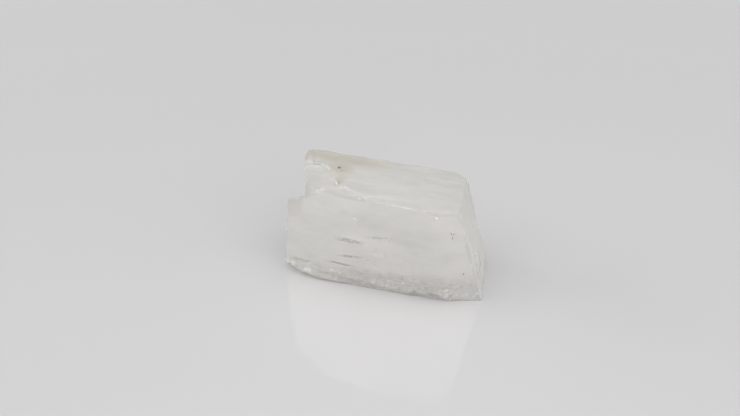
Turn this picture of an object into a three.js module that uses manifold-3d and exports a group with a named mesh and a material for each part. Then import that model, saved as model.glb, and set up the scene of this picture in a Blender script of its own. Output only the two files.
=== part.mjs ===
// A hand-size cleavage piece of calcite: one skewed, blocky crystal with a broken step at its upper left
// corner. Millimetres, +Z up. +X runs along the crystal, +Y towards its back, and the origin is on the
// surface it rests on, under the middle of its bounding box.

import * as THREE from "three";
import { mergeVertices } from "three/addons/utils/BufferGeometryUtils.js";
import Module from "manifold-3d";

const wasm = await Module();
wasm.setup();

// --- Driving dimensions -------------------------------------------------------------------------

// Each face is given the way a crystal is measured: the compass bearing of its outward direction
// (0 = +X, 90 = +Y), how far that direction tips up, both in degrees, and the face's distance from
// the middle of the crystal.
const REST = { bearing: 0, tip: -90, distance: 10.5 };

const CLEAVAGE = {
  top: { bearing: 0, tip: 86.3, distance: 11.1 },
  back: { bearing: 90, tip: 13.1, distance: 8.45 },
  frontLeft: { bearing: -102, tip: -7.5, distance: 8.15 },
  frontMiddle: { bearing: -93.5, tip: -13.3, distance: 7.0 },
  frontRight: { bearing: -78.5, tip: -12, distance: 9.7 },
  rightEnd: { bearing: 2, tip: 13, distance: 15.9 },
  leftEnd: { bearing: -175.5, tip: 7, distance: 18.7 },
};

// Corners and edges that have broken or worn away, as flat cuts.
const WORN = {
  topBackRightCorner: { bearing: 46, tip: 40, distance: 16 },
  rightBackCorner: { bearing: 30, tip: -33, distance: 21.2 },
  frontBottomEdge: { bearing: -94.5, tip: -57, distance: 10.7 },
  leftBottomCorner: { bearing: -108.5, tip: -44, distance: 12.1 },
};

// The step at the upper left: everything above its floor and to the left of its wall has split off,
// and the corner that was left standing above the floor has lost its point.
const STEP_FLOOR = { bearing: 112, tip: 62, distance: 7.1 };
const STEP_WALL = { bearing: -167.5, tip: -5, distance: 14.2 };
const STEP_CORNER = { bearing: -146, tip: 25.5, distance: 17.1 };

// Shell-shaped chips beside that corner, each the surface of a ball: its centre and radius.
const CHIPS = [
  { centre: [-13, -5.2, 29.5], radius: 18.5 },
  { centre: [-6.6, -9.8, 21.1], radius: 10 },
];
const CHIP_SEGMENTS = 96;

const STOCK = 90;
const CUTTER = 120;

// --- Solids -------------------------------------------------------------------------------------

const deg = THREE.MathUtils.degToRad;

function toSolid(geometry) {
  const bare = geometry.clone();
  bare.deleteAttribute("normal");
  bare.deleteAttribute("uv");
  const merged = mergeVertices(bare, 1e-5);
  return new wasm.Manifold(new wasm.Mesh({
    numProp: 3,
    vertProperties: Float32Array.from(merged.attributes.position.array),
    triVerts: Uint32Array.from(merged.index.array),
  }));
}

function toGeometry(solid) {
  const { vertProperties, triVerts } = solid.getMesh();
  const geometry = new THREE.BufferGeometry();
  geometry.setAttribute("position", new THREE.BufferAttribute(vertProperties, 3));
  geometry.setIndex(new THREE.BufferAttribute(triVerts, 1));
  return geometry;
}

function outward({ bearing, tip }) {
  const level = Math.cos(deg(tip));
  return new THREE.Vector3(
    level * Math.cos(deg(bearing)),
    level * Math.sin(deg(bearing)),
    Math.sin(deg(tip)),
  );
}

// A large block that fills everything beyond a face.
function beyond(face) {
  const direction = outward(face);
  const turn = new THREE.Quaternion().setFromUnitVectors(new THREE.Vector3(0, 0, 1), direction);
  const block = new THREE.BoxGeometry(CUTTER, CUTTER, CUTTER);
  block.translate(0, 0, CUTTER / 2);
  block.applyQuaternion(turn);
  block.translate(...direction.multiplyScalar(face.distance).toArray());
  return toSolid(block);
}

function cleavageBlock() {
  const faces = [REST, ...Object.values(CLEAVAGE), ...Object.values(WORN)];
  const stock = toSolid(new THREE.BoxGeometry(STOCK, STOCK, STOCK));
  return faces.reduce((solid, face) => solid.subtract(beyond(face)), stock);
}

function splitOffStep(solid) {
  const aboveFloor = beyond(STEP_FLOOR);
  const lost = aboveFloor.intersect(beyond(STEP_WALL).add(beyond(STEP_CORNER)));
  return solid.subtract(lost);
}

function chip({ centre, radius }) {
  const ball = new THREE.SphereGeometry(radius, CHIP_SEGMENTS, CHIP_SEGMENTS / 2);
  ball.translate(...centre);
  return toSolid(ball);
}

function calciteCrystal() {
  const stepped = splitOffStep(cleavageBlock());
  const chipped = CHIPS.reduce((solid, dent) => solid.subtract(chip(dent)), stepped);
  return toGeometry(chipped);
}

// Stands the crystal on its resting face, with the origin under the middle of its bounding box.
function standOnOrigin(geometry) {
  geometry.computeBoundingBox();
  const { min, max } = geometry.boundingBox;
  geometry.translate(-(min.x + max.x) / 2, -(min.y + max.y) / 2, -min.z);
  return geometry;
}

// --- The specimen -------------------------------------------------------------------------------

const calcite = new THREE.MeshStandardMaterial({ color: "#d6d3ca", roughness: 0.35, metalness: 0 });

const crystal = new THREE.Mesh(standOnOrigin(calciteCrystal()), calcite);
crystal.name = "calcite_crystal";

const specimen = new THREE.Group();
specimen.add(crystal);

export default specimen;
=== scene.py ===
import math
import random

import bpy
from mathutils import Matrix, Vector, noise
from mathutils.geometry import intersect_point_line


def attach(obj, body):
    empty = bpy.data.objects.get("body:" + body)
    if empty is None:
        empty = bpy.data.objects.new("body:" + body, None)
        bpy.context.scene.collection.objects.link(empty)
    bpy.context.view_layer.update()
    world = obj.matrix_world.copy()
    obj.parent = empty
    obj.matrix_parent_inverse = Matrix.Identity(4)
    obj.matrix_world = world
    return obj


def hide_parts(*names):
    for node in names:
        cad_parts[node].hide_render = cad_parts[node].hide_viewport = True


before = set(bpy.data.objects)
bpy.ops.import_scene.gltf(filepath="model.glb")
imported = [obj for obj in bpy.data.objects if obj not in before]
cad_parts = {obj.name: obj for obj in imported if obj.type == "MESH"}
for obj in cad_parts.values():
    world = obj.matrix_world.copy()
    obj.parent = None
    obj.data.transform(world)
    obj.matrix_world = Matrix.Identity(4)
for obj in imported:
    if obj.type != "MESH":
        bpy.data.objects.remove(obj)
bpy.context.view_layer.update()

MM = 0.001

# The three edge directions of a calcite cleavage block as this stone lies, and the directions that
# its pairs of cleavage faces look in: front and back, top and underside, and the two ends.
LONG = Vector((0.999, 0.0, -0.041)).normalized()
DEEP = Vector((-0.075, 0.997, 0.0)).normalized()
TALL = Vector((-0.208, -0.222, 0.953)).normalized()
EVERY_EDGE = (LONG, DEEP, TALL)
FRONT_LOOKS = LONG.cross(TALL).normalized()
TOP_LOOKS = LONG.cross(DEEP).normalized()
ENDS_LOOK = DEEP.cross(TALL).normalized()
CLEAVAGES = (FRONT_LOOKS, TOP_LOOKS, ENDS_LOOK)


# --- Shared ways of working ---------------------------------------------------------------------

def select_nothing():
    bpy.ops.object.select_all(action="DESELECT")


def only(piece):
    """Makes a piece the one thing selected, for the next operator."""
    select_nothing()
    piece.select_set(True)
    bpy.context.view_layer.objects.active = piece


def finish_modifier(piece, kind, **settings):
    """Adds a modifier to a piece and applies it."""
    only(piece)
    modifier = piece.modifiers.new(kind.lower(), kind)
    for name, value in settings.items():
        setattr(modifier, name, value)
    bpy.ops.object.modifier_apply(modifier=modifier.name)


def cut_away(piece, cutter):
    """Takes the space that a cutter fills out of a piece, and throws the cutter away."""
    finish_modifier(piece, "BOOLEAN", object=cutter, operation="DIFFERENCE", solver="EXACT")
    bpy.data.objects.remove(cutter)


def set_along(piece, sides, centre):
    """Puts a piece made round the origin at centre, its own three axes stretched along sides."""
    change = Matrix.Identity(4)
    for column, side in enumerate(sides):
        for row in range(3):
            change[row][column] = side[row]
    change.translation = centre
    piece.data.transform(change)
    if change.determinant() < 0:
        piece.data.flip_normals()


def smoothstep(low, high, value):
    """0 below low, 1 above high, and an easy curve between them."""
    share = min(max((value - low) / (high - low), 0.0), 1.0)
    return share * share * (3 - 2 * share)


def distance_to_segment(place, start, end):
    """How far a place is from the straight line that runs from start to end and stops there."""
    _, along = intersect_point_line(place, start, end)
    foot = Vector(start).lerp(Vector(end), min(max(along, 0.0), 1.0))
    return (place - foot).length


def weigh(piece, group_name, share_at):
    """A vertex group whose weight at each vertex is share_at(place in mm, normal)."""
    group = piece.vertex_groups.new(name=group_name)
    for vertex in piece.data.vertices:
        share = share_at(vertex.co / MM, vertex.normal)
        if share > 0:
            group.add([vertex.index], min(share, 1.0), "REPLACE")


def mark(piece, name, share_at):
    """A number at each vertex, share_at(place in mm, normal), for materials to read."""
    marks = piece.data.attributes.new(name, "FLOAT", "POINT")
    shares = [share_at(vertex.co / MM, vertex.normal) for vertex in piece.data.vertices]
    marks.data.foreach_set("value", shares)


def cloud_texture(name, size, octaves=2):
    """A lumpy texture for roughen, its lumps about size mm across."""
    texture = bpy.data.textures.new(name, "CLOUDS")
    texture.noise_scale = size
    texture.noise_depth = octaves
    return texture


def roughen(piece, group_name, texture, depth, stretch=(1, 1, 1)):
    """Moves a surface in and out over a range of depth mm, in lumps that stretch draws out.

    The three shares of stretch are along the stone, across it and up.
    """
    bpy.ops.object.empty_add()
    ruler = bpy.context.object
    ruler.rotation_euler = LONG.to_track_quat("X", "Z").to_euler()
    ruler.scale = [MM * share for share in stretch]
    bpy.context.view_layer.update()
    finish_modifier(
        piece,
        "DISPLACE",
        texture=texture,
        texture_coords="OBJECT",
        texture_coords_object=ruler,
        vertex_group=group_name,
        strength=depth * MM,
        mid_level=0.5,
    )
    bpy.data.objects.remove(ruler)


class Wiring:
    """Short ways of adding nodes to one node tree."""

    def __init__(self, tree):
        self.tree = tree

    def link(self, value, socket):
        self.tree.links.new(value, socket)

    def node(self, kind, inputs=None, **settings):
        """A node with its settings, and with each input either set to a value or linked to a socket."""
        made = self.tree.nodes.new(kind)
        for name, value in settings.items():
            setattr(made, name, value)
        for name, value in (inputs or {}).items():
            if isinstance(value, bpy.types.NodeSocket):
                self.link(value, made.inputs[name])
            else:
                made.inputs[name].default_value = value
        return made

    def mm_places(self, stretch=(1, 1, 1)):
        """The place on the piece in mm, squeezed along each axis by stretch."""
        place = self.node("ShaderNodeTexCoord").outputs["Object"]
        scale = [1 / (MM * share) for share in stretch]
        turned = self.node("ShaderNodeMapping", {"Vector": place, "Scale": scale})
        return turned.outputs["Vector"]

    def clouds(self, scale, stretch=(1, 1, 1), detail=3, roughness=0.55):
        """Soft noise with scale lumps to each mm, drawn out along each axis by stretch."""
        inputs = {
            "Vector": self.mm_places(stretch),
            "Scale": scale,
            "Detail": detail,
            "Roughness": roughness,
        }
        return self.node("ShaderNodeTexNoise", inputs).outputs["Fac"]

    def between(self, value, low, high, bottom=0.0, top=1.0):
        """Value remapped smoothly from low..high to bottom..top."""
        inputs = {"Value": value, "From Min": low, "From Max": high, "To Min": bottom, "To Max": top}
        ramp = self.node("ShaderNodeMapRange", inputs, interpolation_type="SMOOTHSTEP")
        return ramp.outputs["Result"]

    def maths(self, operation, first, second):
        made = self.node("ShaderNodeMath", {0: first, 1: second}, operation=operation)
        return made.outputs[0]

    def times(self, first, second):
        return self.maths("MULTIPLY", first, second)

    def blend(self, share, first, second):
        """A colour that goes from first to second as share goes from 0 to 1."""
        made = self.node("ShaderNodeMix", data_type="RGBA")
        self.link(share, made.inputs[0])
        for socket, value in ((made.inputs[6], first), (made.inputs[7], second)):
            if isinstance(value, bpy.types.NodeSocket):
                self.link(value, socket)
            else:
                socket.default_value = (*value, 1)
        return made.outputs[2]

    def attribute(self, name):
        """A number that mark has put on the piece's vertices."""
        return self.node("ShaderNodeAttribute", attribute_name=name).outputs["Fac"]


def start_material(name):
    """A new node material, with the wiring of its tree, its shader and its output."""
    material = bpy.data.materials.new(name)
    material.use_nodes = True
    nodes = material.node_tree.nodes
    return material, Wiring(material.node_tree), nodes["Principled BSDF"], nodes["Material Output"]


# --- Camera, floor and light --------------------------------------------------------------------

# The camera looks at a point on the floor a little behind the stone, from the stone's right front.
CAMERA_AIM = Vector((-8.29, 24.86, 0.0)) * MM
CAMERA_DISTANCE = 160 * MM
CAMERA_BEARING = math.radians(13.35)
CAMERA_HEIGHT_ANGLE = math.radians(29.34)
CAMERA_LENS = 34.05
NEAREST_SEEN = 5 * MM
FARTHEST_SEEN = 10


def set_camera():
    """A camera that looks along its bearing, counted from +Y towards -X, and down by its height angle."""
    level = CAMERA_DISTANCE * math.cos(CAMERA_HEIGHT_ANGLE)
    eye = CAMERA_AIM + Vector((
        level * math.sin(CAMERA_BEARING),
        -level * math.cos(CAMERA_BEARING),
        CAMERA_DISTANCE * math.sin(CAMERA_HEIGHT_ANGLE),
    ))
    turn = (math.pi / 2 - CAMERA_HEIGHT_ANGLE, 0, CAMERA_BEARING)
    bpy.ops.object.camera_add(location=eye, rotation=turn)
    camera = bpy.context.object
    camera.name = "specimen_camera"
    camera.data.lens = CAMERA_LENS
    camera.data.clip_start = NEAREST_SEEN
    camera.data.clip_end = FARTHEST_SEEN
    bpy.context.scene.camera = camera


FLOOR_RADIUS = 2.0
FLOOR_SIDES = 96
TABLE_WHITE = (0.583, 0.576, 0.58, 1)
TABLE_ROUGHNESS = 0.03
TABLE_IOR = 1.85


def glossy_table():
    """A glossy white table top that mirrors the stone faintly."""
    material, _, shader, _ = start_material("glossy_white_table")
    shader.inputs["Base Color"].default_value = TABLE_WHITE
    shader.inputs["Roughness"].default_value = TABLE_ROUGHNESS
    shader.inputs["IOR"].default_value = TABLE_IOR
    return material


def lay_floor():
    """A round table top, far wider than the stone."""
    select_nothing()
    bpy.ops.mesh.primitive_circle_add(vertices=FLOOR_SIDES, radius=FLOOR_RADIUS, fill_type="NGON")
    floor = bpy.context.object
    floor.name = "table_top"
    floor.data.materials.append(glossy_table())


# How bright the studio's dome is from the horizon, 0, to straight overhead, 1.
DOME_BRIGHTNESS = (
    (0.0, 0.6),
    (0.12, 0.6),
    (0.25, 0.45),
    (0.36, 0.32),
    (0.5, 0.25),
    (0.66, 0.22),
    (0.85, 0.6),
    (1.0, 0.7),
)
DOME_BLUENESS = 1.003

# Soft boxes: name, place in metres, width and height in metres, watts.
SOFT_BOXES = (
    ("overhead_soft_box", (0.2, -1.75, 3.1), 7.5, 5.0, 172),
    ("front_fill_box", (2.2, -2.0, 0.75), 3.6, 1.3, 26),
    ("left_fill_box", (-2.7, -0.5, 0.9), 2.4, 1.4, 31),
    ("right_fill_box", (2.5, -0.2, 0.9), 2.4, 1.4, 9),
)


def raise_dome():
    """A pale dome that is bright overhead and round the horizon, and dimmer between them."""
    world = bpy.data.worlds.new("studio_dome")
    bpy.context.scene.world = world
    world.use_nodes = True
    wires = Wiring(world.node_tree)
    direction = wires.node("ShaderNodeTexCoord")
    height = wires.node("ShaderNodeSeparateXYZ", {0: direction.outputs["Generated"]})
    ramp = wires.node("ShaderNodeValToRGB", {"Fac": height.outputs["Z"]})
    wires.link(ramp.outputs["Color"], world.node_tree.nodes["Background"].inputs["Color"])
    stops = ramp.color_ramp.elements
    for index, (position, brightness) in enumerate(DOME_BRIGHTNESS):
        stop = stops[index] if index < 2 else stops.new(position)
        stop.position = position
        stop.color = (brightness, brightness, brightness * DOME_BLUENESS, 1)


def hang_soft_boxes():
    """Large lights that face the stone and aren't mirrored in it or in the table."""
    for name, place, width, height, watts in SOFT_BOXES:
        bpy.ops.object.light_add(type="AREA", location=place)
        box = bpy.context.object
        box.name = name
        box.data.shape = "RECTANGLE"
        box.data.size = width
        box.data.size_y = height
        box.data.energy = watts
        box.rotation_euler = (-box.location).to_track_quat("-Z", "Y").to_euler()
        box.visible_camera = False
        box.visible_glossy = False


# --- Finishes that more than one material uses --------------------------------------------------

def new_group(name, inputs, outputs):
    """An empty node group with named number inputs and outputs: it, its wiring and its two ends."""
    group = bpy.data.node_groups.new(name, "ShaderNodeTree")
    for socket, value in inputs.items():
        made = group.interface.new_socket(socket, in_out="INPUT", socket_type="NodeSocketFloat")
        made.default_value = value
    for socket in outputs:
        group.interface.new_socket(socket, in_out="OUTPUT", socket_type="NodeSocketFloat")
    start = group.nodes.new("NodeGroupInput")
    end = group.nodes.new("NodeGroupOutput")
    return group, Wiring(group), start, end


GRAIN_STRETCH = (7, 1.4, 0.8)
PATCH_STRETCH = (1.6, 1, 1)


def cleavage_grain():
    """Fine lines along the long edge with soft mottling: a height, and a mask of cloudy patches."""
    inputs = {"Line Spacing": 0.5, "Patch Size": 3.0}
    group, wires, start, end = new_group("cleavage_grain", inputs, ("Height", "Patches"))
    lines_per_mm = wires.maths("DIVIDE", 1.0, start.outputs["Line Spacing"])
    patches_per_mm = wires.maths("DIVIDE", 1.0, start.outputs["Patch Size"])
    lines = wires.clouds(lines_per_mm, GRAIN_STRETCH)
    patches = wires.clouds(patches_per_mm, PATCH_STRETCH, detail=4, roughness=0.6)
    wires.link(lines, end.inputs["Height"])
    wires.link(wires.between(patches, 0.3, 0.72), end.inputs["Patches"])
    return group


CRUMB_STRETCH = (1.7, 1, 1)
CRUMBLE_STRETCH = (1.8, 1, 0.8)


def crushed_grain():
    """Crushed calcite: a crumbly height, and a mask of the pits between the crumbs."""
    group, wires, start, end = new_group("crushed_grain", {"Crumb Size": 0.5}, ("Height", "Pits"))
    crumbs_per_mm = wires.maths("DIVIDE", 1.0, start.outputs["Crumb Size"])
    places = wires.mm_places(CRUMB_STRETCH)
    crumbs = wires.node("ShaderNodeTexVoronoi", {"Vector": places, "Scale": crumbs_per_mm})
    fine = wires.clouds(1.6, CRUMBLE_STRETCH, detail=4, roughness=0.6)
    wires.link(wires.maths("ADD", crumbs.outputs["Distance"], fine), end.inputs["Height"])
    wires.link(wires.between(fine, 0.5, 0.36), end.inputs["Pits"])
    return group


# --- Materials ----------------------------------------------------------------------------------

CLEAR = (0.91, 0.895, 0.865)
CLEAR_STREAK = (0.862, 0.858, 0.83)
CLEAR_PATCH = (0.978, 0.964, 0.942)
# Partly wear and partly painted shade: the dull grey that damps the light the rubbed, rounded edges
# catch.
DULL_AND_SHADED_EDGE = (0.78, 0.77, 0.745)
BRUISED = (0.66, 0.64, 0.62)
# Partly frost and partly painted light: white for frosted patches that also stand as glints, a painted
# highlight on the chip's rim, and painted light on the bevel under the front.
FROST_AND_PAINTED_LIGHT = (0.985, 0.98, 0.97)
# Painted shade: a brownish tint for the darker look that reflections inside the stone give the top's left
# part.
PAINTED_BROWN_SHADE = (0.8, 0.75, 0.66)
# Painted shade: the grey that darkens the pits between the crumbs of the bruised band.
PIT_SHADE_GREY = (0.42, 0.4, 0.38)

CALCITE_IOR = 1.52
SEE_THROUGH = 0.6
WARM_INSIDE = (0.95, 0.91, 0.78, 1)
INSIDE_DENSITY = 8
FACE_ROUGHNESS = 0.29
MILKY_ROUGHENING = 0.06
BROKEN_ROUGHENING = 0.2
FINE_RELIEF = 0.06 * MM
FINE_RELIEF_STRENGTH = 0.4


def clear_calcite(grain, crush):
    """Clear stone that is faintly milky at its surface, frosted where it broke off cleavage, with painted
    light and shade laid into its colour.
    """
    material, wires, shader, output = start_material("clear_calcite")
    lines = wires.node("ShaderNodeGroup", node_tree=grain)
    crumbs = wires.node("ShaderNodeGroup", node_tree=crush)
    crumbs.inputs["Crumb Size"].default_value = 0.6
    # Frost, painted glints, a painted highlight on the chip's rim, and painted light on the bevel under
    # the front.
    broken = wires.attribute("frost_and_painted_light")
    bruised = wires.attribute("bruising")
    brown_shade = wires.attribute("painted_brown_shade")
    dull_and_shaded = wires.attribute("dulling_and_painted_shade")
    rough = wires.maths("MAXIMUM", wires.maths("MAXIMUM", broken, dull_and_shaded), bruised)
    # Painted shade in the pits between the crumbs of the bruised band.
    pit_shade = wires.times(crumbs.outputs["Pits"], bruised)

    streaks = wires.between(lines.outputs["Height"], 0.35, 0.65)
    colour = wires.blend(streaks, CLEAR, CLEAR_STREAK)
    colour = wires.blend(lines.outputs["Patches"], colour, CLEAR_PATCH)
    layers = (
        # Painted shade on the top's left part.
        (brown_shade, 0.9, PAINTED_BROWN_SHADE),
        # Frost with painted glints, a painted highlight on the chip's rim and painted light on the bevel.
        (broken, 0.75, FROST_AND_PAINTED_LIGHT),
        # Dulled edges: partly wear, partly painted shade.
        (dull_and_shaded, 0.9, DULL_AND_SHADED_EDGE),
        (bruised, 0.5, BRUISED),
        # Painted shade in the pits of the bruised band.
        (pit_shade, 0.4, PIT_SHADE_GREY),
    )
    for place, strength, tint in layers:
        colour = wires.blend(wires.times(place, strength), colour, tint)
    wires.link(colour, shader.inputs["Base Color"])

    milky = wires.times(lines.outputs["Patches"], MILKY_ROUGHENING)
    uneven = wires.maths("ADD", wires.times(rough, BROKEN_ROUGHENING), milky)
    wires.link(wires.maths("ADD", uneven, FACE_ROUGHNESS), shader.inputs["Roughness"])

    fine = wires.times(lines.outputs["Height"], 0.5)
    coarse = wires.times(crumbs.outputs["Height"], rough)
    bump = wires.node("ShaderNodeBump", {"Strength": FINE_RELIEF_STRENGTH, "Distance": FINE_RELIEF})
    wires.link(wires.maths("ADD", fine, coarse), bump.inputs["Height"])
    wires.link(bump.outputs["Normal"], shader.inputs["Normal"])

    shader.inputs["IOR"].default_value = CALCITE_IOR
    shader.inputs["Transmission Weight"].default_value = SEE_THROUGH
    inside = {"Color": WARM_INSIDE, "Density": INSIDE_DENSITY}
    absorption = wires.node("ShaderNodeVolumeAbsorption", inside)
    wires.link(absorption.outputs["Volume"], output.inputs["Volume"])
    return material


def cleavage_film(name, grain, patch_size, thin, thick, covers, roughness):
    """A film in a cleavage, patchy from thin to thick and as opaque as its thickness allows.

    thin and thick are the colours of its thin and its thick patches, and covers is how much they
    hide of what is behind them.
    """
    material, wires, shader, _ = start_material(name)
    lines = wires.node("ShaderNodeGroup", node_tree=grain)
    lines.inputs["Patch Size"].default_value = patch_size
    wires.link(wires.blend(lines.outputs["Patches"], thin, thick), shader.inputs["Base Color"])
    cover = wires.between(lines.outputs["Patches"], 0.0, 1.0, *covers)
    wires.link(wires.times(cover, wires.attribute("thickness")), shader.inputs["Alpha"])
    shader.inputs["Roughness"].default_value = roughness
    return material


def milky_veil(grain):
    """The white film of a healed cleavage."""
    colours = (0.9, 0.89, 0.86), (0.98, 0.98, 0.97)
    return cleavage_film("milky_veil", grain, 2.6, *colours, (0.05, 0.75), 0.45)


def open_cleavage(grain):
    """The grey film that shows where a cleavage stands open."""
    colours = (0.49, 0.485, 0.46), (0.59, 0.585, 0.56)
    return cleavage_film("open_cleavage", grain, 0.9, *colours, (0.35, 0.8), 0.35)


def dark_mineral(crush):
    """Dull brown grains with darker pits."""
    material, wires, shader, _ = start_material("dark_mineral")
    crumbs = wires.node("ShaderNodeGroup", node_tree=crush)
    crumbs.inputs["Crumb Size"].default_value = 0.15
    colour = wires.blend(crumbs.outputs["Pits"], (0.3, 0.27, 0.22), (0.17, 0.15, 0.125))
    wires.link(colour, shader.inputs["Base Color"])
    shader.inputs["Roughness"].default_value = 0.5
    return material


def white_flake():
    """Splinters of calcite, white because they are crushed; the same white also makes a painted glint and
    painted light along the base.
    """
    material, wires, shader, _ = start_material("white_flake")
    colour = wires.blend(wires.clouds(2.0), (0.86, 0.85, 0.82), (0.97, 0.965, 0.95))
    wires.link(colour, shader.inputs["Base Color"])
    shader.inputs["Roughness"].default_value = 0.6
    return material


# --- The stone: its block, and what has split off it --------------------------------------------

# Corners of the block nearer to each other than this are one, and so are faces that turn less.
MERGE_DISTANCE = 0.001 * MM
FLAT_WITHIN = math.radians(0.5)

# A face looks a given way when the cosine of the angle between them is more than this.
LOOKS_THAT_WAY = 0.9

# Which two edges span each cleavage face, and roughly which way the face looks.
FACES = {
    "front": {"looks": (0, -1, -0.2), "edges": (LONG, TALL)},
    "back": {"looks": (0, 1, 0.2), "edges": (LONG, TALL)},
    "top": {"looks": (0, 0, 1), "edges": (LONG, DEEP)},
    "right_end": {"looks": (1, 0, 0.2), "edges": (TALL, DEEP)},
    "left_end": {"looks": (-1, 0, 0.1), "edges": (TALL, DEEP)},
}

# Flakes split off along cleavage: face, place as shares of the face, size in mm, depth in mm.
MAIN_FLAKES = (
    ("front", (0.34, 0.47), (12, 1.6), 0.12),
    ("front", (0.42, 0.36), (17, 3.4), 0.10),
    ("front", (0.20, 0.20), (14, 3.0), 0.16),
    ("front", (0.62, 0.06), (24, 3.2), 0.24),
    ("front", (0.88, 0.05), (10, 4.6), 0.4),
    ("top", (0.55, 0.10), (12, 3.6), 0.08),
    ("top", (0.60, 0.97), (26, 2.0), 0.06),
    ("right_end", (0.30, 0.10), (15, 1.8), 0.30),
    ("right_end", (0.18, 0.34), (10, 2.6), 0.2),
    ("right_end", (0.62, 0.92), (12, 3.0), 0.3),
)

# Many lesser flakes: how many on each face, the greatest depth in mm there, and their sizes in mm.
LESSER_FLAKES = {
    "front": (8, 0.1),
    "back": (9, 0.12),
    "top": (6, 0.07),
    "right_end": (6, 0.16),
    "left_end": (6, 0.1),
}
LESSER_LENGTHS = (5, 18)
LESSER_WIDTHS = (0.6, 2.6)
LEAST_DEPTH_SHARE = 0.4
FLAKE_SEED = 7


def copy_of_node(node, name):
    """A merged copy of a CAD node's mesh, as a piece of its own."""
    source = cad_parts[node]
    piece = bpy.data.objects.new(name, source.data.copy())
    bpy.context.scene.collection.objects.link(piece)
    piece.data.materials.clear()
    only(piece)
    bpy.ops.object.mode_set(mode="EDIT")
    bpy.ops.mesh.select_all(action="SELECT")
    bpy.ops.mesh.remove_doubles(threshold=MERGE_DISTANCE)
    bpy.ops.mesh.dissolve_limited(angle_limit=FLAT_WITHIN)
    bpy.ops.object.mode_set(mode="OBJECT")
    return piece


def find_face(piece, looks):
    """The corners and normal of the largest flat face that looks roughly one way."""
    toward = Vector(looks).normalized()
    polygons = piece.data.polygons
    facing = [polygon for polygon in polygons if polygon.normal.dot(toward) > LOOKS_THAT_WAY]
    largest = max(facing, key=lambda polygon: polygon.area)
    corners = [piece.data.vertices[index].co.copy() for index in largest.vertices]
    return corners, largest.normal.copy()


def split_flake(piece, corners, normal, edges, place, size, depth):
    """Cuts a thin skewed slab out of a face, its sides along the cleavage edges."""
    middle = sum(corners, Vector()) / len(corners)
    centre = middle.copy()
    sides = []
    for edge, share, length in zip(edges, place, size):
        in_face = (edge - edge.dot(normal) * normal).normalized()
        reach = [(corner - middle).dot(in_face) for corner in corners]
        centre += in_face * (min(reach) + share * (max(reach) - min(reach)))
        sides.append(in_face * length * MM)
    sides.append(normal * depth * 2 * MM)
    select_nothing()
    bpy.ops.mesh.primitive_cube_add(size=1)
    slab = bpy.context.object
    set_along(slab, sides, centre)
    cut_away(piece, slab)


def split_flakes(piece):
    """The main flakes, and then the lesser ones at random places."""
    found = {name: find_face(piece, face["looks"]) for name, face in FACES.items()}
    for name, place, size, depth in MAIN_FLAKES:
        split_flake(piece, *found[name], FACES[name]["edges"], place, size, depth)
    dice = random.Random(FLAKE_SEED)
    for name, (count, greatest_depth) in LESSER_FLAKES.items():
        for _ in range(count):
            place = (dice.random(), dice.random())
            size = (dice.uniform(*LESSER_LENGTHS), dice.uniform(*LESSER_WIDTHS))
            depth = dice.uniform(LEAST_DEPTH_SHARE, 1.0) * greatest_depth
            split_flake(piece, *found[name], FACES[name]["edges"], place, size, depth)


# The height of the top face over the table in mm where x is 0, and how much it falls for each mm of x.
TOP_HEIGHT = 21.69
TOP_FALL = 0.0645

# The jagged upper rim of the chip, in mm from the left end to where it meets the top front edge,
# and three more corners well outside the stone that close its outline.
CHIP_RIM = (
    (-16.5, 0.3), (-13.4, 0.0), (-12.3, 0.5), (-11.1, 0.1), (-10.1, -0.4), (-9.3, -1.9), (-8.3, -2.6),
    (-7.6, -4.3), (-7.0, -5.3), (-6.4, -7.2), (-4.8, -7.5), (-3.7, -8.6), (-2.3, -9.3), (-0.4, -10.0),
)
BEYOND_CHIP = ((0.5, -13.0), (-22.0, -13.0), (-22.0, 0.3))
CHIP_DEPTH = 0.2
CHIP_CUTTER_HEIGHT = 3


def top_at(across):
    """The height in mm of the top face at a place along the stone."""
    return TOP_HEIGHT - TOP_FALL * across


def split_chip(piece):
    """Lowers the top a little inside the chip's rim, out past the front and the left end."""
    outline = CHIP_RIM + BEYOND_CHIP
    select_nothing()
    bpy.ops.mesh.primitive_circle_add(vertices=len(outline), radius=MM, fill_type="NGON")
    cutter = bpy.context.object
    for vertex, (across, back) in zip(cutter.data.vertices, outline):
        vertex.co = Vector((across, back, top_at(across) - CHIP_DEPTH)) * MM
    bpy.ops.object.mode_set(mode="EDIT")
    bpy.ops.mesh.select_all(action="SELECT")
    lift = (0, 0, CHIP_CUTTER_HEIGHT * MM)
    bpy.ops.mesh.extrude_region_move(TRANSFORM_OT_translate={"value": lift})
    bpy.ops.mesh.select_all(action="SELECT")
    bpy.ops.mesh.normals_make_consistent(inside=False)
    bpy.ops.object.mode_set(mode="OBJECT")
    cut_away(piece, cutter)


# --- The stone: where it is broken, bruised and worn, and its painted light and shade -----------

# Each function here takes a place in mm and the surface's normal there, and gives a share, 0 to 1.

def chip_rim_share(place, normal):
    """1 on the chip's rim, falling to 0 half a millimetre or so away from it."""
    if place.z < top_at(place.x) - 1.2:
        return 0.0
    flat = Vector((place.x, place.y))
    rim = zip(CHIP_RIM, CHIP_RIM[1:])
    nearest = min(distance_to_segment(flat, start, end) for start, end in rim)
    return 1 - smoothstep(0.05, 0.4, nearest)


def broken_share(place, normal):
    """0 on a cleavage face, up to 1 on a surface that follows none of the three cleavages."""
    best = max(abs(normal.dot(cleavage)) for cleavage in CLEAVAGES)
    return 1 - smoothstep(0.89, 0.965, best)


def chipped_share(place, normal):
    """1 on the hollow where the top front edge has chipped away at the left."""
    left = 1 - smoothstep(-3, 0, place.x)
    high = smoothstep(16.5, 18, place.z)
    return broken_share(place, normal) * left * high


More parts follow.
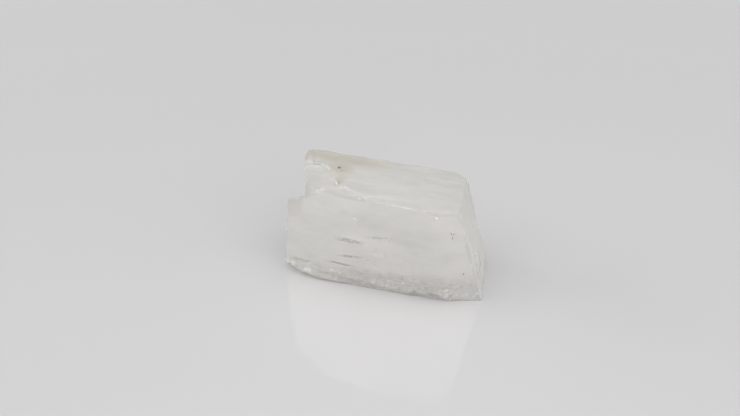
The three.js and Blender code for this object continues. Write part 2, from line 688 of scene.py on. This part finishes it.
def undercut_share(place, normal):
    """1 on the bevel that cuts in under the front of the stone, 0 at the floor and above it."""
    looks_under = smoothstep(0.3, 0.5, -normal.z) * smoothstep(0.3, 0.6, -normal.y)
    low = smoothstep(0.0, 0.7, place.z) * (1 - smoothstep(3.0, 4.0, place.z))
    return looks_under * low * smoothstep(-18.2, -15.5, place.x)


def base_rim_share(place, normal):
    """1 along the edge where the front meets the bevel under it."""
    turning = smoothstep(0.26, 0.33, -normal.z) * (1 - smoothstep(0.55, 0.65, -normal.z))
    turning *= smoothstep(0.4, 0.6, -normal.y)
    return turning * smoothstep(0.3, 0.45, place.z) * (1 - smoothstep(2.5, 3.0, place.z))


def frost_and_painted_light_share(place, normal):
    """Broken surfaces are frosted in patches, partly frost and partly painted glints; the chip's rim has
    a faint painted highlight; and the bevel under the front is painted light all over, for light that
    comes through the stone.
    """
    patches = smoothstep(0.25, 0.6, noise.noise(place * 0.5) + 0.4 * noise.noise(place * 1.7))
    rim = chip_rim_share(place, normal) * smoothstep(-0.1, 0.3, noise.noise(place * 1.3))
    return max(broken_share(place, normal) * patches, 0.35 * rim, undercut_share(place, normal))


def dull_and_shaded_share(place, normal):
    """Rubbed edges are dull grey where they aren't frosted: partly wear, partly painted shade that damps
    the light the rounded edges catch.
    """
    return broken_share(place, normal) * max(1 - 2 * frost_and_painted_light_share(place, normal), 0.0)


# The top of the bruise: its height in mm where x is 0, its rise for each mm of x, and its waver in mm.
BRUISE_HEIGHT = 5.2
BRUISE_RISE = 0.11
BRUISE_WAVER = 1.1


def bruised_share(place, normal):
    """1 along the bruised bottom of the front, fading out a few mm up and towards the left."""
    drift = BRUISE_WAVER * noise.noise(Vector((place.x * 0.3, 3.1, place.z * 0.2)))
    top = BRUISE_HEIGHT + drift + BRUISE_RISE * place.x
    low = 1 - smoothstep(0.45 * top, 1.1 * top, place.z)
    front = (1 - smoothstep(-3.0, -1.0, place.y)) * (1 - smoothstep(0.3, 0.5, -normal.z))
    looks_right = smoothstep(0.5, 0.9, normal.x)
    far_right = smoothstep(12.0, 17.0, place.x)
    front *= (1 - 0.8 * looks_right) * (1 - 0.35 * far_right)
    return low * front * smoothstep(-13.5, -10.5, place.x) * smoothstep(0.0, 0.4, place.z)


def painted_brown_shade_share(place, normal):
    """Painted brownish shade along the back of the top, round the dark grain, and a smudge before it: the
    darker look that reflections inside the stone give the top's left part.
    """
    if place.z < top_at(place.x) - 1.0:
        return 0.0
    drift = 0.9 * noise.noise(Vector((place.x * 0.35, place.y * 0.6, 2.0)))
    drift += 0.4 * noise.noise(Vector((place.x * 1.2, place.y * 1.6, 5.0)))
    band = 1 - smoothstep(0.6, 3.2, abs(place.y - 3.6) + drift)
    band *= 1 - smoothstep(-5.0, 3.0, place.x)
    from_grain = math.hypot(place.x + 7.6, 0.7 * (place.y + 0.4))
    blob = 1 - smoothstep(0.4, 3.6, from_grain + drift)
    from_smudge = math.hypot(place.x + 6.7, 0.5 * (place.y + 4.9))
    smudge = 1 - smoothstep(0.2, 1.5, from_smudge + 0.3 * drift)
    return max(band, blob, smudge)


def worn_share(place, normal):
    """Edges are a little rounder in some patches than in others."""
    return smoothstep(0.05, 0.55, noise.noise(place * 0.25) + 0.35 * noise.noise(place * 0.9))


def ends_share(place, normal):
    return smoothstep(0.8, 0.95, abs(normal.dot(ENDS_LOOK)))


def sides_share(place, normal):
    return 1 - ends_share(place, normal)


def right_end_share(place, normal):
    return smoothstep(0.9, 0.95, normal.x)


def front_share(place, normal):
    return smoothstep(0.9, 0.95, -normal.y)


def everywhere(place, normal):
    return 1.0


# --- The stone: its surface ---------------------------------------------------------------------

# Length of the stone's finest facets.
FACET_LENGTH = 0.21 * MM

# Edges worn much rounder than the rest: two ends in mm, reach in mm, smoothing passes, and
# how far in mm the smoothed part is then swelled out again. The wear is full within
# FULL_WEAR_SHARE of its reach.
WORN_EDGES = (
    ((-15.9, 5.4, 22.7), (-14.9, 0.8, 22.7), 2.0, 50, 0.3),
    ((-16.2, 5.7, 23.0), (-16.1, 5.0, 23.0), 2.0, 60, 0.0),
    ((-13.0, 5.4, 22.5), (-2.0, 5.8, 22.0), 1.6, 4, 0.12),
    ((-11.2, -7.6, 21.4), (-3.0, -9.4, 21.7), 2.0, 160, 0.0),
    ((-16.7, -6.1, 17.8), (-16.8, -6.0, 17.6), 1.3, 60, 0.18),
    ((12.0, -10.5, 20.0), (11.6, -8.0, 4.0), 3.0, 100, 0.0),
    ((19.3, -5.0, 0.6), (18.5, -5.2, 2.0), 1.0, 60, 0.0),
    ((15.3, -9.7, 20.6), (15.3, -9.0, 20.6), 1.2, 60, 0.0),
    ((-19.8, 10.5, 0.6), (-18.6, 8.4, 9.6), 1.1, 30, 0.0),
    ((-13.0, 10.7, 0.2), (-3.0, 10.7, 0.2), 1.2, 40, 0.0),
    ((11.0, 10.7, 0.2), (15.6, 10.6, 0.3), 1.3, 50, 0.0),
)
FULL_WEAR_SHARE = 0.4
SMOOTHING = 0.5
FACET_PASSES = 2
WORN_PASSES = 5

# How far the bevel under the front swells out, in mm.
UNDERCUT_SWELL = 0.8

# Relief: vertex group and where it is, texture, lump size in mm, octaves, depth in mm, and stretch.
RELIEF = (
    ("broken", broken_share, "crumbs", 0.7, 2, 0.22, (2.2, 1, 0.8)),
    ("chipped", chipped_share, "terraces", 1.0, 2, 0.2, (3, 1.2, 0.6)),
    ("bruised", bruised_share, "bruises", 0.8, 3, 0.34, (1.6, 1, 0.7)),
    ("sides", sides_share, "ripples", 1.0, 2, 0.06, (8, 1.4, 0.8)),
    ("ends", ends_share, "end_ripples", 1.0, 2, 0.09, (1, 1.0, 6)),
)

# What the clear stone's material reads from the stone.
MARKS = {
    "frost_and_painted_light": frost_and_painted_light_share,
    "dulling_and_painted_shade": dull_and_shaded_share,
    "bruising": bruised_share,
    "painted_brown_shade": painted_brown_shade_share,
}

# The least height of the underside over the table, in mm, so that the two never lie in one plane.
STANDING_GAP = 0.03


def wear_edge(stone, start, end, reach, passes, swell):
    """Rounds the stone along the line from start to end."""
    def share_at(place, normal):
        full_wear = FULL_WEAR_SHARE * reach
        return 1 - smoothstep(full_wear, reach, distance_to_segment(place, start, end))

    weigh(stone, "worn_edge", share_at)
    finish_modifier(stone, "SMOOTH", factor=SMOOTHING, iterations=passes, vertex_group="worn_edge")
    if swell:
        finish_modifier(stone, "DISPLACE", strength=swell * MM, mid_level=0, vertex_group="worn_edge")
    stone.vertex_groups.remove(stone.vertex_groups["worn_edge"])


def carve_stone(material):
    """The whole stone: block, flakes, chip, wear and relief."""
    stone = copy_of_node("calcite_crystal", "calcite_stone")
    split_flakes(stone)
    split_chip(stone)
    finish_modifier(stone, "REMESH", mode="VOXEL", voxel_size=FACET_LENGTH)
    finish_modifier(stone, "SMOOTH", factor=SMOOTHING, iterations=FACET_PASSES)
    weigh(stone, "worn", worn_share)
    finish_modifier(stone, "SMOOTH", factor=SMOOTHING, iterations=WORN_PASSES, vertex_group="worn")
    for worn_edge in WORN_EDGES:
        wear_edge(stone, *worn_edge)
    weigh(stone, "undercut", undercut_share)
    swell = UNDERCUT_SWELL * MM
    finish_modifier(stone, "DISPLACE", strength=swell, mid_level=0, vertex_group="undercut")

    for group, share_at, *_ in RELIEF:
        weigh(stone, group, share_at)
    for name, share_at in MARKS.items():
        mark(stone, name, share_at)
    for group, _, texture, size, octaves, depth, stretch in RELIEF:
        roughen(stone, group, cloud_texture(texture, size, octaves), depth, stretch)
    for vertex in stone.data.vertices:
        vertex.co.z = max(vertex.co.z, STANDING_GAP * MM)

    stone.data.materials.append(material)
    only(stone)
    bpy.ops.object.shade_smooth()
    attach(stone, "root")
    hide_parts("calcite_crystal")
    return stone


# --- What is sealed in the stone ----------------------------------------------------------------

def seal_in(piece):
    """A smooth piece that is sealed in the stone or in its surface, and rides with it."""
    only(piece)
    bpy.ops.object.shade_smooth()
    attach(piece, "root")


# Healed cleavages: middle in mm, the two edges they follow, and their size in mm.
VEILS = (
    ((-9, -5.2, 13.5), (LONG, TALL), (13, 7)),
    ((-2, -6.6, 16.0), (LONG, TALL), (17, 6)),
    ((8, -6.0, 12.0), (LONG, TALL), (14, 8)),
    ((11, -3.4, 7.5), (LONG, TALL), (12, 6)),
    ((-14, -3.0, 9.5), (LONG, TALL), (9, 6)),
    ((0, 0.5, 18.5), (LONG, DEEP), (22, 9)),
    ((-8, -1.5, 19.6), (LONG, DEEP), (9, 6)),
    ((4, -1.0, 14.0), (LONG, DEEP), (19, 9)),
    ((-6, 0.5, 6.5), (LONG, DEEP), (17, 7)),
    ((15.6, -1.0, 9.5), (TALL, DEEP), (11, 6)),
    ((-12, 4.5, 8.0), (LONG, TALL), (12, 9)),
    ((5, 6.5, 11.0), (LONG, TALL), (16, 9)),
)
VEIL_THICKNESS = 0.03
VEIL_WAVE_SIZE = 2.5
VEIL_WAVE_DEPTH = 0.7

# How a veil's rim wavers: how far, as a share of the veil, and how closely.
RIM_WAVERS = ((0.16, 5), (0.07, 16))


def veil_rim(place, seed):
    """How far out a place on a veil's unit square lies: 1 on its ragged rim, less inside it."""
    ragged = 0.0
    for share, closeness in RIM_WAVERS:
        ragged += share * noise.noise(Vector((place.x * closeness, place.y * closeness, 0)) + seed)
    return math.hypot(place.x, place.y) * 2 + ragged * 2


def trim_outside(piece, outside):
    """Deletes the vertices for which outside(place) is true."""
    only(piece)
    bpy.ops.object.mode_set(mode="EDIT")
    bpy.ops.mesh.select_all(action="DESELECT")
    bpy.ops.object.mode_set(mode="OBJECT")
    for vertex in piece.data.vertices:
        vertex.select = outside(vertex.co)
    bpy.ops.object.mode_set(mode="EDIT")
    bpy.ops.mesh.delete(type="VERT")
    bpy.ops.object.mode_set(mode="OBJECT")


def grow_veil(index, middle, edges, size, material):
    """A thin wavy film along two of the cleavage edges, thinning towards its ragged rim."""
    select_nothing()
    bpy.ops.mesh.primitive_grid_add(x_subdivisions=64, y_subdivisions=40, size=1)
    veil = bpy.context.object
    veil.name = f"milky_veil_{index}"
    seed = Vector((index * 7.3, 1.7, 0.4))

    def thickness(place, normal):
        return 1 - smoothstep(0.35, 1.0, veil_rim(place * MM, seed))

    mark(veil, "thickness", thickness)
    trim_outside(veil, lambda place: veil_rim(place, seed) > 1.0)
    across = edges[0].cross(edges[1]).normalized()
    sides = (edges[0] * size[0] * MM, edges[1] * size[1] * MM, across * MM)
    set_along(veil, sides, Vector(middle) * MM)
    waves = cloud_texture(f"veil_waves_{index}", VEIL_WAVE_SIZE)
    roughen(veil, "", waves, VEIL_WAVE_DEPTH, (2, 1, 1))
    finish_modifier(veil, "SOLIDIFY", thickness=VEIL_THICKNESS * MM, offset=0)
    veil.data.materials.append(material)
    seal_in(veil)


# Cleavages that come out at a face: the two ends of the line on the face in mm, and its width in
# mm. Grey ones stand open, and white ones are crushed or partly healed.
GREY_CLEAVAGES = (
    ((-8.6, -7.0, 11.6), (-0.7, -7.7, 11.3), 1.6),
    ((-2.3, -7.9, 12.8), (4.2, -8.5, 13.6), 0.6),
    ((-8.4, -6.2, 6.9), (-0.9, -6.8, 7.7), 0.85),
    ((-11.2, -5.6, 5.4), (-2.6, -6.0, 4.6), 0.95),
    ((-18.0, -3.9, 3.7), (-11.9, -5.1, 4.0), 0.95),
    ((-14.8, 0.15, 22.4), (-10.6, 0.15, 22.3), 1.3),
    ((-8.0, -3.6, 22.0), (-6.2, -6.6, 22.1), 1.0),
    ((14.2, -9.1, 15.9), (13.8, -9.4, 16.9), 0.3),
    ((14.2, -9.1, 15.9), (14.6, -9.2, 16.8), 0.3),
    ((14.3, -9.0, 16.3), (14.1, -8.9, 14.9), 0.34),
    ((16.3, -6.6, 6.5), (16.4, -6.7, 7.3), 0.38),
    ((-9.6, 8.5, 13.6), (-1.0, 8.6, 13.0), 0.6),
    ((1.0, 9.6, 8.3), (8.5, 9.4, 7.9), 0.4),
    ((3.4, 7.6, 16.6), (9.5, 7.5, 16.3), 0.32),
    ((-14.0, 9.6, 5.1), (-7.0, 9.8, 4.9), 0.36),
    ((-18.4, 1.0, 9.0), (-19.2, 0.2, 4.0), 0.4),
)
WHITE_CLEAVAGES = (
    ((-17.2, -3.9, 3.1), (-12.0, -5.0, 3.3), 0.6),
    ((-11.0, -0.3, 22.3), (-8.8, -1.7, 22.2), 0.5),
    ((-7.7, -4.0, 22.1), (-6.5, -7.5, 22.1), 0.5),
    ((-6.4, -6.4, 22.1), (-3.4, -7.9, 21.9), 0.6),
    ((-1.8, -8.9, 21.7), (0.2, -9.2, 21.6), 0.3),
    ((17.7, -3.1, 9.6), (19.0, -3.1, 4.0), 0.7),
    ((17.4, -4.6, 8.8), (18.7, -4.6, 3.6), 0.5),
    ((18.0, 1.3, 7.8), (19.1, 0.6, 3.1), 0.7),
    ((2.2, -8.5, 14.1), (3.5, -8.2, 12.4), 0.6),
    ((0.2, -7.7, 11.1), (1.1, -7.4, 9.6), 0.5),
    ((-1.7, -6.7, 7.6), (-0.5, -6.6, 6.7), 0.6),
    ((-3.6, -8.8, 17.4), (-2.4, -8.9, 16.6), 0.7),
    ((-4.0, 8.3, 15.2), (1.5, 8.2, 15.0), 0.4),
    ((8.0, 9.2, 11.1), (14.0, 9.0, 10.7), 0.35),
    ((-18.0, 4.5, 12.0), (-18.8, 4.2, 7.0), 0.6),
)

# How deep such a cleavage reaches, how far its film stands proud of the face, and the size of the
# film's lumps, all in mm, and how deep the lumps are as a share of its width.
CLEAVAGE_REACH = 0.3
CLEAVAGE_PROUD = 0.09
CLEAVAGE_LUMPS = 0.9
CLEAVAGE_LUMPINESS = 0.25


def on_surface(stone, place):
    """The place on the stone's surface nearest to a place in mm, and the way the surface looks."""
    _, nearest, outward, _ = stone.closest_point_on_mesh(Vector(place) * MM)
    return nearest, outward


def open_crack(name, stone, start, end, width, material, slot):
    """A thin lens lying in a face between two of its points, the mouth of a cleavage."""
    select_nothing()
    bpy.ops.mesh.primitive_uv_sphere_add(segments=32, ring_count=16, radius=0.5)
    crack = bpy.context.object
    crack.name = name

    def thickness(place, normal):
        from_middle = math.hypot(place.x, place.z) * 2 * MM
        return 1 - smoothstep(0.15, 0.95, from_middle)

    mark(crack, "thickness", thickness)
    first, _ = on_surface(stone, start)
    last, _ = on_surface(stone, end)
    middle, outward = on_surface(stone, (Vector(start) + Vector(end)) / 2)
    length = last - first
    across = length.cross(outward).normalized() * width * MM
    inset = outward * (0.5 * CLEAVAGE_REACH - CLEAVAGE_PROUD) * MM
    set_along(crack, (length, outward * CLEAVAGE_REACH * MM, across), middle - inset)
    waves = cloud_texture(f"{name}_waves", CLEAVAGE_LUMPS)
    roughen(crack, "", waves, CLEAVAGE_LUMPINESS * width, (1.5, 1, 1))
    crack.data.materials.append(material)
    seal_in(crack)


# Grains, each by its place in mm and its size in mm.
WHITE_GRAINS_AND_GLINT = (
    # A painted glint: a white grain on the front just under its top edge, where a highlight sits.
    ((11.5, -10.45, 19.86), 0.3),
    ((-2.4, -8.45, 16.2), 0.24),
)
DARK_GRAINS = (
    ((-8.06, -0.23, 22.15), 0.6),
    ((-7.3, -1.2, 22.1), 0.3),
    ((-10.8, 1.6, 22.3), 0.26),
    ((12.4, 4.6, 12.0), 0.4),
    ((-3.0, 6.4, 15.0), 0.36),
    ((17.0, 1.5, 11.0), 0.3),
)

# A grain's length, depth and height as shares of its size, and its lumps in mm and as a share of it.
GRAIN_SHAPE = (1.2, 1.0, 0.8)
GRAIN_LUMPS = 0.4
GRAIN_LUMPINESS = 0.4


def embed_grain(name, place, size, material, slot):
    """A lumpy grain, a little longer than it is deep and a little lower."""
    select_nothing()
    bpy.ops.mesh.primitive_ico_sphere_add(subdivisions=4, radius=0.5)
    grain = bpy.context.object
    grain.name = name
    sides = [edge * size * share * MM for edge, share in zip(EVERY_EDGE, GRAIN_SHAPE)]
    set_along(grain, sides, Vector(place) * MM)
    roughen(grain, "", cloud_texture(f"{name}_lumps", GRAIN_LUMPS), GRAIN_LUMPINESS * size)
    grain.data.materials.append(material)
    seal_in(grain)


# The oval rim of a shallow flake scar in the top: middle, size and lumps in mm.
SCAR_MIDDLE = Vector((2.67, -1.23, 21.38))
SCAR_LENGTH = 2.3
SCAR_WIDTH = 1.7
SCAR_LUMPS = 0.7
SCAR_LUMPINESS = 0.3


def grow_scar_rim(material):
    """The white rim of the scar, a thin ring sealed just under the top."""
    select_nothing()
    bpy.ops.mesh.primitive_torus_add(
        major_radius=0.5, minor_radius=0.035, major_segments=40, minor_segments=8)
    rim = bpy.context.object
    rim.name = "flake_scar_rim"
    sides = (LONG * SCAR_LENGTH * MM, DEEP * SCAR_WIDTH * MM, Vector((0, 0, 1.0)) * MM)
    set_along(rim, sides, SCAR_MIDDLE * MM)
    roughen(rim, "", cloud_texture("ring_lumps", SCAR_LUMPS), SCAR_LUMPINESS)
    rim.data.materials.append(material)
    seal_in(rim)


# Groups of small white flakes: name, where they are wanted, how many, their sizes in mm, their
# depths under the face in mm, the edges that they lie along, and the seed of their draws.
FLAKE_GROUPS = (
    # Painted light: white flakes along the base edge that brighten it as light coming through the stone
    # would.
    ("base_flakes_and_painted_light", base_rim_share, 120, (0.12, 0.34), (0.0, 0.06), (LONG,), 9),
    ("bruise_flakes", bruised_share, 90, (0.12, 0.45), (0.04, 0.3), (LONG, LONG, TALL), 3),
    ("rim_flakes", chip_rim_share, 30, (0.12, 0.28), (0.0, 0.1), EVERY_EDGE, 8),
    ("front_flakes", front_share, 130, (0.12, 0.35), (0.0, 0.5), (LONG,), 4),
    ("end_slivers", right_end_share, 46, (0.2, 0.5), (0.0, 0.25), (TALL,), 5),
    ("loose_flakes", everywhere, 120, (0.1, 0.35), (0.1, 1.0), EVERY_EDGE, 6),
)
FLAKE_SIDES = 6
FLAKE_THICKNESS = 0.06
FLAKE_TILT = 0.2
FLAKE_SLENDERNESS = (1.0, 2.6)
FLAKE_WIDTH_SHARE = 0.7


def place_flake(dice, polygon, sizes, depths, edges):
    """One small flake just under a facet, longest along a cleavage edge picked from edges."""
    long_edge = dice.choice(edges)
    short_edge = dice.choice([edge for edge in EVERY_EDGE if edge is not long_edge])
    size = dice.uniform(*sizes) * MM
    tilt = Vector([dice.uniform(-FLAKE_TILT, FLAKE_TILT) for _ in range(3)])
    long_side = (long_edge + tilt).normalized() * size * dice.uniform(*FLAKE_SLENDERNESS)
    thin_side = long_side.cross(short_edge).normalized() * FLAKE_THICKNESS * MM
    bpy.ops.mesh.primitive_cylinder_add(vertices=FLAKE_SIDES, radius=0.5, depth=1)
    flake = bpy.context.object
    middle = polygon.center - polygon.normal * dice.uniform(*depths) * MM
    set_along(flake, (long_side, short_edge * size * FLAKE_WIDTH_SHARE, thin_side), middle)
    return flake


def scatter_flakes(stone, material, name, wanted, count, sizes, depths, edges, seed):
    """Many small flakes in one piece, just under the faces where wanted(place, normal) is high."""
    dice = random.Random(seed)
    polygons = stone.data.polygons
    flakes = []
    select_nothing()
    while len(flakes) < count:
        polygon = polygons[dice.randrange(len(polygons))]
        if dice.random() <= wanted(polygon.center / MM, polygon.normal):
            flakes.append(place_flake(dice, polygon, sizes, depths, edges))
    only(flakes[0])
    for flake in flakes:
        flake.select_set(True)
    bpy.ops.object.join()
    joined = bpy.context.object
    joined.name = name
    joined.data.materials.append(material)
    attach(joined, "root")


def fill_stone(stone, grain, crush):
    """Veils, open and healed cleavages, grains and flakes."""
    veil_film = milky_veil(grain)
    crack_film = open_cleavage(grain)
    mineral = dark_mineral(crush)
    white = white_flake()
    for index, veil in enumerate(VEILS, 1):
        grow_veil(index, *veil, veil_film)
    for index, crack in enumerate(GREY_CLEAVAGES, 1):
        open_crack(f"grey_cleavage_{index}", stone, *crack, crack_film, "mineral_speck")
    for index, grain_place in enumerate(DARK_GRAINS, 1):
        embed_grain(f"dark_grain_{index}", *grain_place, mineral, "mineral_speck")
    for index, grain_place in enumerate(WHITE_GRAINS_AND_GLINT, 1):
        embed_grain(f"white_grain_{index}", *grain_place, white, "milky_veil")
    for index, crack in enumerate(WHITE_CLEAVAGES, 1):
        open_crack(f"white_cleavage_{index}", stone, *crack, veil_film, "milky_veil")
    grow_scar_rim(white)
    for flake_group in FLAKE_GROUPS:
        scatter_flakes(stone, white, *flake_group)


# --- The specimen on its table ------------------------------------------------------------------

set_camera()
lay_floor()
raise_dome()
hang_soft_boxes()
grain_group = cleavage_grain()
crush_group = crushed_grain()
calcite_stone = carve_stone(clear_calcite(grain_group, crush_group))
fill_stone(calcite_stone, grain_group, crush_group)

# Light crosses many films and faces on its way through the stone.
BOUNCES_IN_STONE = 24
FILMS_CROSSED = 48
bpy.context.scene.view_settings.view_transform = "Standard"
cycles = bpy.context.scene.cycles
cycles.max_bounces = BOUNCES_IN_STONE
cycles.transmission_bounces = BOUNCES_IN_STONE
cycles.transparent_max_bounces = FILMS_CROSSED
